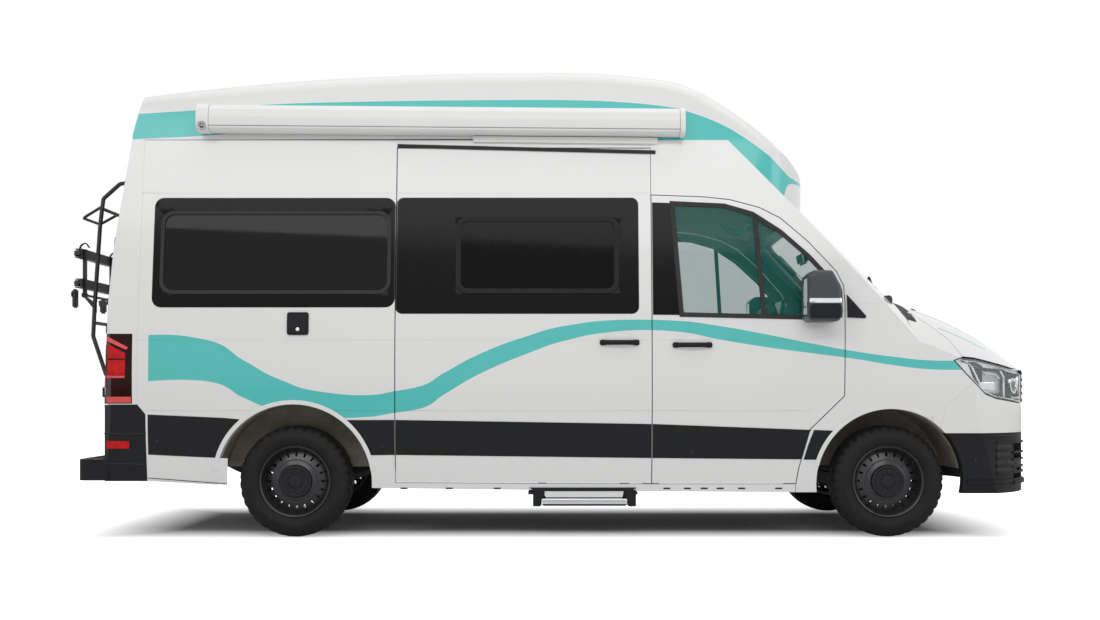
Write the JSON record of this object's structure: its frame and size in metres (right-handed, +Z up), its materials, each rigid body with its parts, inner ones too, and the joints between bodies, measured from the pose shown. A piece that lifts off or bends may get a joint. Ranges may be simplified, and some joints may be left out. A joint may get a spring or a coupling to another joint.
{
  "type": "camper van",
  "caption": "High-roof camper van with sliding side door, side awning, slide-out step and folding bike rack on the tail door.",
  "frame": {"origin": "on the ground, under the middle of the overall box", "axes": "+X forward to the nose, +Y to the vehicle's left, +Z up"},
  "size_m": [6.14, 2.42, 2.9745],
  "materials": {
    "white_paint": "gloss",
    "white_gelcoat": "gloss",
    "lamp_red": "gloss",
    "lamp_clear": "gloss",
    "dark_glass": "gloss",
    "tinted_glass": "gloss",
    "black_plastic": "satin",
    "underbody": "matte",
    "liner": "matte",
    "cast_block": "matte",
    "chassis_black": "satin",
    "cast_steel": "matte",
    "dash_plastic": "matte",
    "seat_cloth": "matte",
    "awning_white": "satin",
    "step_aluminium": "satin",
    "rack_black": "satin",
    "tyre_rubber": "matte",
    "wheel_steel": "satin"
  },
  "bodies": {
    "van_body": {"side_right": "white_paint", "side_left": "white_paint", "sliding_door": "white_paint", "rear_frame": "white_paint", "tail_lamps": "lamp_red", "rear_bumper": "black_plastic", "high_roof": "white_gelcoat", "cab_frame": "white_paint", "body_glass": "dark_glass", "front_wings": "white_paint", "head_lamps": "lamp_clear", "grille": "black_plastic", "nose_panel": "white_paint", "front_bumper": "black_plastic", "floor_pan": "underbody", "arch_liners": "liner", "chassis_frame": "underbody", "engine": "cast_block", "rear_axle": "chassis_black", "front_subframe": "chassis_black", "dashboard": "dash_plastic", "cab_seats": "seat_cloth", "awning": "awning_white", "step_frame": "chassis_black"},
    "steer_right": {"knuckle_right": "cast_steel"},
    "steer_left": {"knuckle_left": "cast_steel"},
    "hand_wheel": {"steering_wheel": "dash_plastic"},
    "front_door_right": {"cab_door_right": "white_paint", "cab_glass_right": "tinted_glass", "mirror_right": "black_plastic"},
    "front_door_left": {"cab_door_left": "white_paint", "cab_glass_left": "tinted_glass", "mirror_left": "black_plastic"},
    "tail_door_right": {"rear_door_right": "white_paint", "rear_glass_right": "dark_glass", "rack_frame": "rack_black"},
    "tail_door_left": {"rear_door_left": "white_paint", "rear_glass_left": "dark_glass"},
    "bike_platform": {"rack_platform": "rack_black"},
    "bonnet_lid": {"bonnet": "white_paint"},
    "entry_step": {"step_tread": "step_aluminium"},
    "wheel_rear_right": {"tyre_rear_right": "tyre_rubber", "rim_rear_right": "wheel_steel"},
    "wheel_rear_left": {"tyre_rear_left": "tyre_rubber", "rim_rear_left": "wheel_steel"},
    "wheel_front_right": {"tyre_front_right": "tyre_rubber", "rim_front_right": "wheel_steel"},
    "wheel_front_left": {"tyre_front_left": "tyre_rubber", "rim_front_left": "wheel_steel"}
  },
  "joints": [
    {"name": "roll_rear_right", "type": "hinge", "parent": "van_body", "child": "wheel_rear_right", "pos_m": [-1.59, -0.861, 0.342], "axis": [0, 1, 0], "continuous": true},
    {"name": "roll_rear_left", "type": "hinge", "parent": "van_body", "child": "wheel_rear_left", "pos_m": [-1.59, 0.861, 0.342], "axis": [0, 1, 0], "continuous": true},
    {"name": "steer_turn_right", "type": "hinge", "parent": "van_body", "child": "steer_right", "pos_m": [2.05, -0.78, 0.342], "axis": [0, 0, 1], "range_deg": [-36, 36]},
    {"name": "roll_front_right", "type": "hinge", "parent": "steer_right", "child": "wheel_front_right", "pos_m": [2.05, -0.853, 0.342], "axis": [0, 1, 0], "continuous": true},
    {"name": "steer_turn_left", "type": "hinge", "parent": "van_body", "child": "steer_left", "pos_m": [2.05, 0.78, 0.342], "axis": [0, 0, 1], "range_deg": [-36, 36]},
    {"name": "roll_front_left", "type": "hinge", "parent": "steer_left", "child": "wheel_front_left", "pos_m": [2.05, 0.853, 0.342], "axis": [0, 1, 0], "continuous": true},
    {"name": "hand_wheel_turn", "type": "hinge", "parent": "van_body", "child": "hand_wheel", "pos_m": [1.31, 0.4, 1.15], "axis": [-0.8829, 0, 0.4695], "range_deg": [-540, 540]},
    {"name": "front_door_right_open", "type": "hinge", "parent": "van_body", "child": "front_door_right", "pos_m": [1.769, -1.021, 1.1], "axis": [0, 0, 1], "range_deg": [0, 70]},
    {"name": "front_door_left_open", "type": "hinge", "parent": "van_body", "child": "front_door_left", "pos_m": [1.769, 1.021, 1.1], "axis": [0, 0, -1], "range_deg": [0, 70]},
    {"name": "tail_door_right_open", "type": "hinge", "parent": "van_body", "child": "tail_door_right", "pos_m": [-2.76, -0.905, 1.3], "axis": [0, 0, 1], "range_deg": [0, 90]},
    {"name": "tail_door_left_open", "type": "hinge", "parent": "van_body", "child": "tail_door_left", "pos_m": [-2.76, 0.905, 1.3], "axis": [0, 0, -1], "range_deg": [0, 180]},
    {"name": "bike_platform_fold", "type": "hinge", "parent": "tail_door_right", "child": "bike_platform", "pos_m": [-2.992, -0.39, 1.508], "axis": [0, -1, 0], "range_deg": [0, 90]},
    {"name": "bonnet_open", "type": "hinge", "parent": "van_body", "child": "bonnet_lid", "pos_m": [2.29, 0, 1.5], "axis": [0, -1, 0], "range_deg": [0, 60]},
    {"name": "entry_step_out", "type": "slide", "parent": "van_body", "child": "entry_step", "axis": [0, -1, 0], "range_m": [0, 0.2]}
  ],
  "couplings": [
    {"joint": "steer_turn_left", "follows": "steer_turn_right", "ratio": 1},
    {"joint": "hand_wheel_turn", "follows": "steer_turn_right", "ratio": 15}
  ]
}
